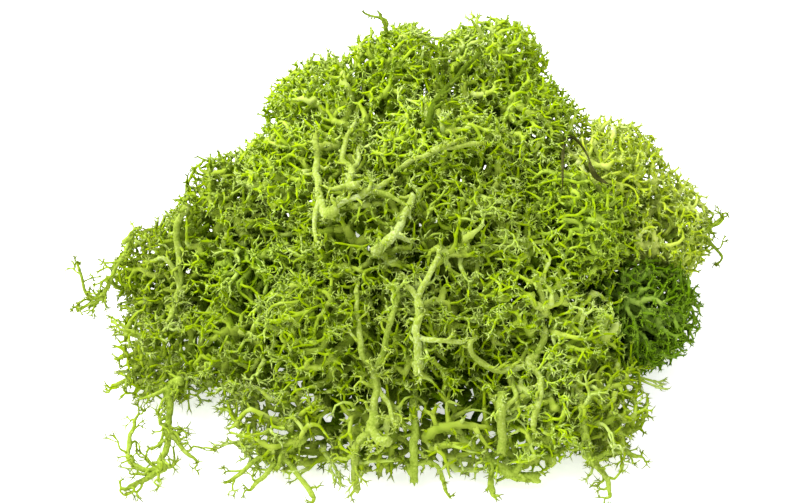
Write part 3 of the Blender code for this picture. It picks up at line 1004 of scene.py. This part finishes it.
def stalk(bush, rows, tone, torn, rng):
    """A warty tube along rows of place and radius. A torn end has a ragged lip round a hollow."""
    rough = 1 + rng.normal(0, ROUGHNESS, (len(rows), STEM_SIDES))
    places = rings_round(rows[None, :, :3], rows[None, :, 3], STEM_SIDES)[0]
    centre = rows[:, None, :3]
    places = centre + (places - centre) * rough[..., None]
    age = 0.5 * (1 - np.sqrt(np.clip(rows[:, 3] / STOUTEST, 0, 1)))
    tones = tone + 0.12 * drift(rows[:, :3], 1.5)
    if torn:
        heading = unit(rows[-1, :3] - rows[-3, :3])
        places[-1] += rng.uniform(*TORN_LIP, STEM_SIDES)[:, None] * heading
        lip = centre[-1] + TORN_INSIDE[0] * (places[-1] - centre[-1]) - 0.1 * heading
        hollow = centre[-1] + TORN_INSIDE[1] * (places[-2] - centre[-2]) - TORN_DEPTH * heading
        places = np.concatenate([places, lip[None], hollow[None]])
        age = np.append(age, (0.1, 0.3))
        # The hollow's bottom takes tone 0, the full shade colour: painted shade in the hollow.
        tones = np.append(tones, (tone + 0.1, 0.0))
    index = np.arange(places.shape[0] * STEM_SIDES).reshape(-1, STEM_SIDES)
    tones = np.repeat(tones, STEM_SIDES) + rng.normal(0, 0.05, index.size)
    bush.add(places.reshape(-1, 3), np.repeat(age, STEM_SIDES), tones, tube_faces(index))


def web(bush, one, other, tone):
    """The web in a fork: a thin skin from limb to limb whose free edge is hollowed out.

    Round each ring it goes from one limb to the other on top and comes back below.
    """
    count = min(len(one), len(other), WEB_RINGS)
    share = np.linspace(0, 1, 5)
    reach = (1 - WEB_HOLLOWED * np.sin(math.pi * share)) * (count - 1)
    ring = np.linspace(0, 1, count)[:, None] * reach[None]
    low = np.minimum(ring.astype(int), count - 2)
    part = (ring - low)[..., None]
    first = one[low] * (1 - part) + one[low + 1] * part
    second = other[low] * (1 - part) + other[low + 1] * part
    middle = first[..., :3] * (1 - share[:, None]) + second[..., :3] * share[:, None]
    across = unit(second[..., :3] - first[..., :3] + 1e-6)
    along = unit(one[count - 1, :3] + other[count - 1, :3] - one[0, :3] - other[0, :3])
    normal = unit(np.cross(across, along))
    thickness = 0.5 * np.minimum(first[..., 3:], second[..., 3:])
    thickness = thickness * (1 - WEB_THINNER * np.sin(math.pi * share))[:, None]
    thickness = thickness * np.linspace(1, 0.35, count)[:, None, None]
    ring_places = np.concatenate([middle + thickness * normal, (middle - thickness * normal)[:, ::-1]], 1)
    sides = ring_places.shape[1]
    index = np.arange(count * sides).reshape(count, sides)
    faces = tube_faces(index)
    corner = ring_places[0, 0] - ring_places[0].mean(0)
    if np.cross(corner, ring_places[0, 1] - ring_places[0, 0]) @ along < 0:
        faces = [face[:, ::-1] for face in faces]
    bush.add(ring_places.reshape(-1, 3), np.full(index.size, 0.12), np.full(index.size, tone), faces)


def bare_stem(
    node, seed, material, *limbs, slot="stems", tone=0.56, twig=2.6, twig_every=1.6, forks=2, thin=0.18,
    rooted=True, slender=0.85,
):
    """A stem with its limbs, its webs and its twigs, which fork and are twig long, twig_every apart.

    Each limb is: first radius, last radius, points of the route. slender is the stem's mean radius as
    a share of its solid's corner radius.
    """
    rng = np.random.default_rng(seed)
    bush = Bush()
    paths = []
    for number, (first, last, *route) in enumerate(limbs):
        rows = limb_path(first, last, route, paths[0] if number else None, rooted, slender, rng)
        torn = last >= TORN_RADIUS
        if number:
            fork = np.linalg.norm(paths[0][:, :3] - rows[PEEL_RINGS, :3], axis=1).argmin()
            web(bush, paths[0][fork:], rows[PEEL_RINGS:], tone)
            web(bush, paths[0][fork::-1], rows[PEEL_RINGS:], tone)
        paths.append(rows)
        stalk(bush, rows, tone + rng.normal(0, 0.05), torn, rng)
        end, heading, finger = rows[-1:, :3], unit(rows[-1:, :3] - rows[-4, :3]), 0.4 * twig
        if not torn:
            reach, tones = np.array([0.4 * twig]), np.array([tone])
            antlers(bush, end, heading, reach, rows[-1:, 3], tones, forks, thin, finger, rng)
        stations = np.arange(2, len(rows) - 2, max(2, round(twig_every / RING_PITCH)))
        stations = np.clip(stations + rng.integers(-1, 2, len(stations)), 1, len(rows) - 2)
        along = unit(rows[stations + 1, :3] - rows[stations - 1, :3])
        _, course, _ = fan(along, np.ones(len(stations), int), *TWIG_SPLAY, rng)
        size = rng.uniform(0.45, 1.0, len(stations))
        starts = rows[stations, :3] + 0.75 * rows[stations, 3:] * course
        radii = np.minimum(0.6 * rows[stations, 3], 0.16 + 0.26 * size)
        tones = np.full(len(stations), tone + 0.03)
        antlers(bush, starts, course, twig * size * 0.8, radii, tones, max(1, forks - 1), thin, finger, rng)
    finish_piece(bush, f"{node}_with_twigs", material, slot, node, mapped=False)


bare_skin = warty(
    "bare_skin",
    bump=0.5, stem=(0.31, 0.395, 0.06), branchlet=(0.30, 0.40, 0.02),
    finger=(0.40, 0.50, 0.10), pale=(0.52, 0.61, 0.27), burnt=(0.12, 0.10, 0.02),
    shade=(0.12, 0.20, 0.002),
)
bare_stem(
    "centre_forked_stem", 1, bare_skin,
    (1.0, 0.5, (-4, -38, 12.5), (-3.5, -29, 18), (-6, -28.5, 23), (-7, -21, 29.5)),
    (0.8, 0.4, (-3.5, -29, 18), (-2, -27.5, 25), (0, -23.5, 30), (0, -16, 29.5)),
    (0.9, 0.8, (-4, -37, 13), (-7, -38, 9), (-7, -39, 5), (-7, -41, 1.5)),
    (0.7, 0.4, (-3.5, -31, 17), (-2, -33.5, 15.5), (-0.5, -37, 14)),
    twig=3.4, twig_every=1.9, forks=3,
)
bare_stem(
    "centre_upright_stem", 2, bare_skin,
    (0.8, 0.5, (3.5, -31, 21), (4, -27, 28), (4, -23, 31), (7, -17, 34)),
    (0.6, 0.4, (4, -24, 30.5), (1.5, -22, 31), (0.5, -16, 30)),
    (0.5, 0.4, (4, -28, 26.5), (7, -29, 26), (10.5, -28, 24.5)),
    # This stem is paler all over than the others: a painted highlight.
    tone=0.64, twig=3.0, twig_every=1.8, slender=0.95,
)
bare_stem(
    "crossing_stem", 3, bare_skin,
    (0.5, 0.7, (12, -27, 23.5), (14, -27.5, 20), (18.5, -28, 18), (22.5, -26, 18), (25.5, -22, 21)),
    (0.8, 0.6, (22.5, -26, 18), (24.5, -29, 16.5), (24.5, -32, 16), (23, -37, 13.5)),
    twig=2.8, twig_every=1.8,
)
bare_stem(
    "front_upright_stem", 8, bare_skin,
    (1.0, 0.9, (18, -31, 15.5), (18, -34.5, 14), (18, -38, 8)),
    (0.6, 0.4, (18, -34, 14), (20, -32, 15.5), (19.5, -28, 16)),
    twig_every=2.6, rooted=False,
)


# ---- the bare stems on the top tuft's front
# More old stems, which lean on the top tuft, with small twigs left on them. One is torn off, and its
# hollow inside shows. Each row has the seed, the name, the tone, how long the twigs are and how far apart,
# and the limbs.

for seed, node, tone, twig, twig_every, *limbs in (
    (
        4, "shoulder_stem", 0.58, 2.6, 1.8,
        (1.0, 0.6, (-12, -12, 39), (-13.5, -8, 39.5), (-14, -1, 40.5), (-14, 4, 43)),
        (0.6, 0.4, (-13, -9, 39.5), (-14, -12.5, 37.5), (-14, -15, 36)),
    ),
    (
        5, "forked_stem", 0.62, 2.6, 2.0,
        (0.8, 0.5, (-8, -7, 41.5), (-8, -2, 40.5), (-9.5, 3, 40), (-8, 8, 42)),
        (0.6, 0.4, (-8, -2, 40.5), (-7, 2, 39.5), (-7, 6, 39)),
        (0.6, 0.4, (-8, -7, 41.5), (-10, -7.5, 41), (-11.5, -6.5, 40.5)),
    ),
    (
        18, "slanting_stem", 0.6, 2.6, 1.8,
        (0.7, 0.5, (-10.5, -11, 40), (-6.5, -10, 41), (-2, -6.5, 41.5)),
        (0.6, 0.4, (-4, -9, 41.5), (1, -9.5, 39.5)),
    ),
    (
        19, "ridge_stem", 0.56, 2.8, 1.8,
        (0.6, 0.4, (0, -1.5, 40), (3, -3, 44), (7.5, -2.5, 46), (10, -1, 46.5)),
        (0.5, 0.4, (7.5, -2.5, 46), (13.5, -1, 45.5)),
    ),
    (
        6, "torn_stem", 0.66, 2.6, 2.2,
        (0.7, 1.0, (1, -11.5, 38.5), (-1, -15.5, 36.5), (-4, -17, 35)),
        (0.6, 0.4, (-1, -15, 37), (2, -14, 35)),
    ),
):
    bare_stem(node, seed, bare_skin, *limbs, tone=tone, twig=twig, twig_every=twig_every)


# ---- the torn stems along the front edge
# The stems by which the clump was pulled from the ground. They reach down to the table and are torn off,
# and webs of the same skin fill their forks.

edge_skin = warty(
    "edge_skin",
    bump=0.4, stem=(0.32, 0.43, 0.05), branchlet=(0.27, 0.38, 0.02),
    finger=(0.30, 0.40, 0.04), pale=(0.48, 0.58, 0.14), burnt=(0.08, 0.065, 0.015),
    shade=(0.09, 0.15, 0.002), burnt_from=0.82,
)
bare_stem(
    "front_cut_stem", 7, edge_skin,
    (0.8, 0.9, (3, -30.5, 13), (3, -36.5, 8), (3, -38.5, 1.5)),
    (0.6, 0.4, (3, -37.5, 4.5), (7.5, -37.5, 4.5), (8, -41, 1.5)),
    twig=3.2, twig_every=2.0,
)
bare_stem(
    "front_webbed_stem", 9, edge_skin,
    (0.9, 1.1, (10, -34, 9), (15, -36.5, 4.5), (20, -38.5, 3), (24, -38.5, 2)),
    (0.7, 0.5, (20, -38.5, 3), (22, -38, 7), (23, -36, 9)),
    (0.7, 0.6, (15, -36.5, 4.5), (16.5, -41, 1.5)),
    twig=3.0, twig_every=2.2,
)
bare_stem(
    "left_upright_stem", 10, bare_skin,
    (0.8, 0.6, (-39, 0, 26), (-39, -2.5, 19.5), (-39.5, -6, 15.5), (-40, -12, 15.5)),
    (0.6, 0.4, (-39, -5, 17), (-41.5, -2.5, 20), (-44, -2.5, 20)),
    twig=2.8, twig_every=2.0,
)


# ---- the loose sprigs round the edge
# Single branches that stray from the clump, open enough to see between, and held only by their stout ends.
# Their finest ends are brown.

bare_stem(
    "far_left_sprig", 11, edge_skin,
    (0.7, 0.5, (-48, 3, 20), (-50.5, 1, 16), (-53, -0.5, 11), (-55, -0.5, 8)),
    (0.6, 0.4, (-54.5, -0.5, 8.5), (-57, 0.5, 10), (-58, 2, 14)),
    (0.6, 0.4, (-54.5, -0.5, 8.5), (-58, -0.5, 6)),
    twig=2.8, twig_every=1.1, forks=3, thin=0.16, slender=0.7,
)
bare_stem(
    "low_left_sprig", 12, edge_skin,
    (0.9, 0.5, (-40, -24, 9), (-40, -31, 5), (-41.5, -37, 2.5), (-46, -40, 1.5)),
    (0.7, 0.4, (-41.5, -37, 2.5), (-46.5, -35, 3), (-46, -28, 5)),
    (0.6, 0.4, (-40, -31, 5), (-36, -34, 3)),
    twig=4.4, twig_every=1.2, forks=3, thin=0.15,
)
bare_stem(
    "front_left_sprig", 13, edge_skin,
    (0.9, 0.4, (-17, -35, 8), (-19.5, -36.5, 6), (-22.5, -38, 3.5), (-25, -40.5, 1.5)),
    (0.6, 0.4, (-19.5, -36.5, 6), (-23.5, -36.5, 5), (-28.5, -39, 2)),
    (0.7, 0.5, (-19.5, -36.5, 6), (-17.5, -39, 4), (-14.5, -42, 1.5)),
    twig=2.9, twig_every=1.5, forks=3, thin=0.15,
)
bare_stem(
    "front_right_sprig", 14, edge_skin,
    (0.9, 0.4, (32, -35, 10), (33.5, -37, 6), (35.5, -39, 3), (36.5, -42, 1.5)),
    (0.6, 0.4, (33.5, -37, 6), (38.5, -36, 6), (41, -36, 5)),
    twig=3.3, twig_every=1.5, forks=3, thin=0.15,
)
bare_stem(
    "right_sprig", 15, edge_skin,
    (0.8, 0.5, (51, 2, 22), (55, 2, 22), (58, 4, 24)),
    (0.6, 0.4, (55, 2, 22), (58, 0, 19)),
    tone=0.35, twig=3.0, twig_every=0.9, forks=3, thin=0.16, slender=0.65,
)
bare_stem(
    "top_sprig", 16, edge_skin,
    (0.7, 0.5, (-2, 25, 50), (-3, 27, 53)),
    (0.5, 0.4, (-3, 26, 52), (-6, 27, 53)),
    tone=0.3, twig=0.8, twig_every=0.6, thin=0.14, slender=0.5,
)


# ---- the dark stem
# An old dead stem, olive brown, that lies across the top tuft. It has kept only its stoutest twigs, and
# its tips have dried.

dead_skin = warty(
    "dead_skin",
    bump=0.5, stem=(0.11, 0.17, 0.010), branchlet=(0.11, 0.17, 0.006),
    finger=(0.15, 0.21, 0.015), pale=(0.24, 0.31, 0.05), burnt=(0.05, 0.04, 0.01),
    shade=(0.04, 0.07, 0.002),
)
bare_stem(
    "dark_stem", 17, dead_skin,
    (0.8, 0.5, (6, 6, 48.5), (8, 11, 47.5), (10.5, 16, 47), (14.5, 19, 50)),
    (0.6, 0.4, (8, 11, 47.5), (6, 16, 50)),
    slot="dark_stems", slender=0.75,
)


# ---- the blade of dry grass
# One dark blade of grass, caught in the branchlets and bent over, with the stub of a leaf at its foot. It
# is dry and stiff, and flat across.

GRASS_ROUTE = ((28.5, -5, 38.5), (29.5, 8, 38), (31, 9, 39), (33, 4.5, 39.5), (34.5, -2, 39))
STUB_ROUTE = ((33.5, 1.5, 39.4), (34.5, -2, 39.2), (36.5, -3.5, 38.8))
GRASS_WIDTH = 0.42
GRASS_FLATNESS = 0.35
BLADE_SIDES = 8


def blade(bush, route, width, steps):
    """A blade: an oval tube along a curve, flat across, that narrows to nothing at both ends."""
    path = spline(np.array(route, float)[None] + LAID, steps)
    share = np.linspace(0, 1, path.shape[1])
    radii = (width * np.sqrt(np.sin(math.pi * np.clip(share, 0.02, 0.98))))[None]
    rings = rings_round(path, radii, BLADE_SIDES)[0]
    lift = rings - path[0][:, None]
    across = unit(rings[:, :1] - path[0][:, None])
    flat = across * (lift * across).sum(-1, keepdims=True)
    rings = path[0][:, None] + flat + GRASS_FLATNESS * (lift - flat)
    index = np.arange(rings.shape[0] * BLADE_SIDES).reshape(-1, BLADE_SIDES)
    tones = np.repeat(0.5 + 0.25 * np.sin(9 * share), BLADE_SIDES)
    bush.add(rings.reshape(-1, 3), np.full(index.size, 0.3), tones, tube_faces(index))


dry_skin = warty(
    "dry_skin",
    bump=0.2, stem=(0.045, 0.050, 0.008), branchlet=(0.045, 0.050, 0.008),
    finger=(0.06, 0.06, 0.01), pale=(0.12, 0.12, 0.04), burnt=(0.03, 0.02, 0.01),
    shade=(0.02, 0.022, 0.004),
)
grass = Bush()
blade(grass, GRASS_ROUTE, GRASS_WIDTH, 12)
blade(grass, STUB_ROUTE, 2 * GRASS_WIDTH, 8)
finish_piece(grass, "grass_blade", dry_skin, "dry_grass", "grass_strand", mapped=False)
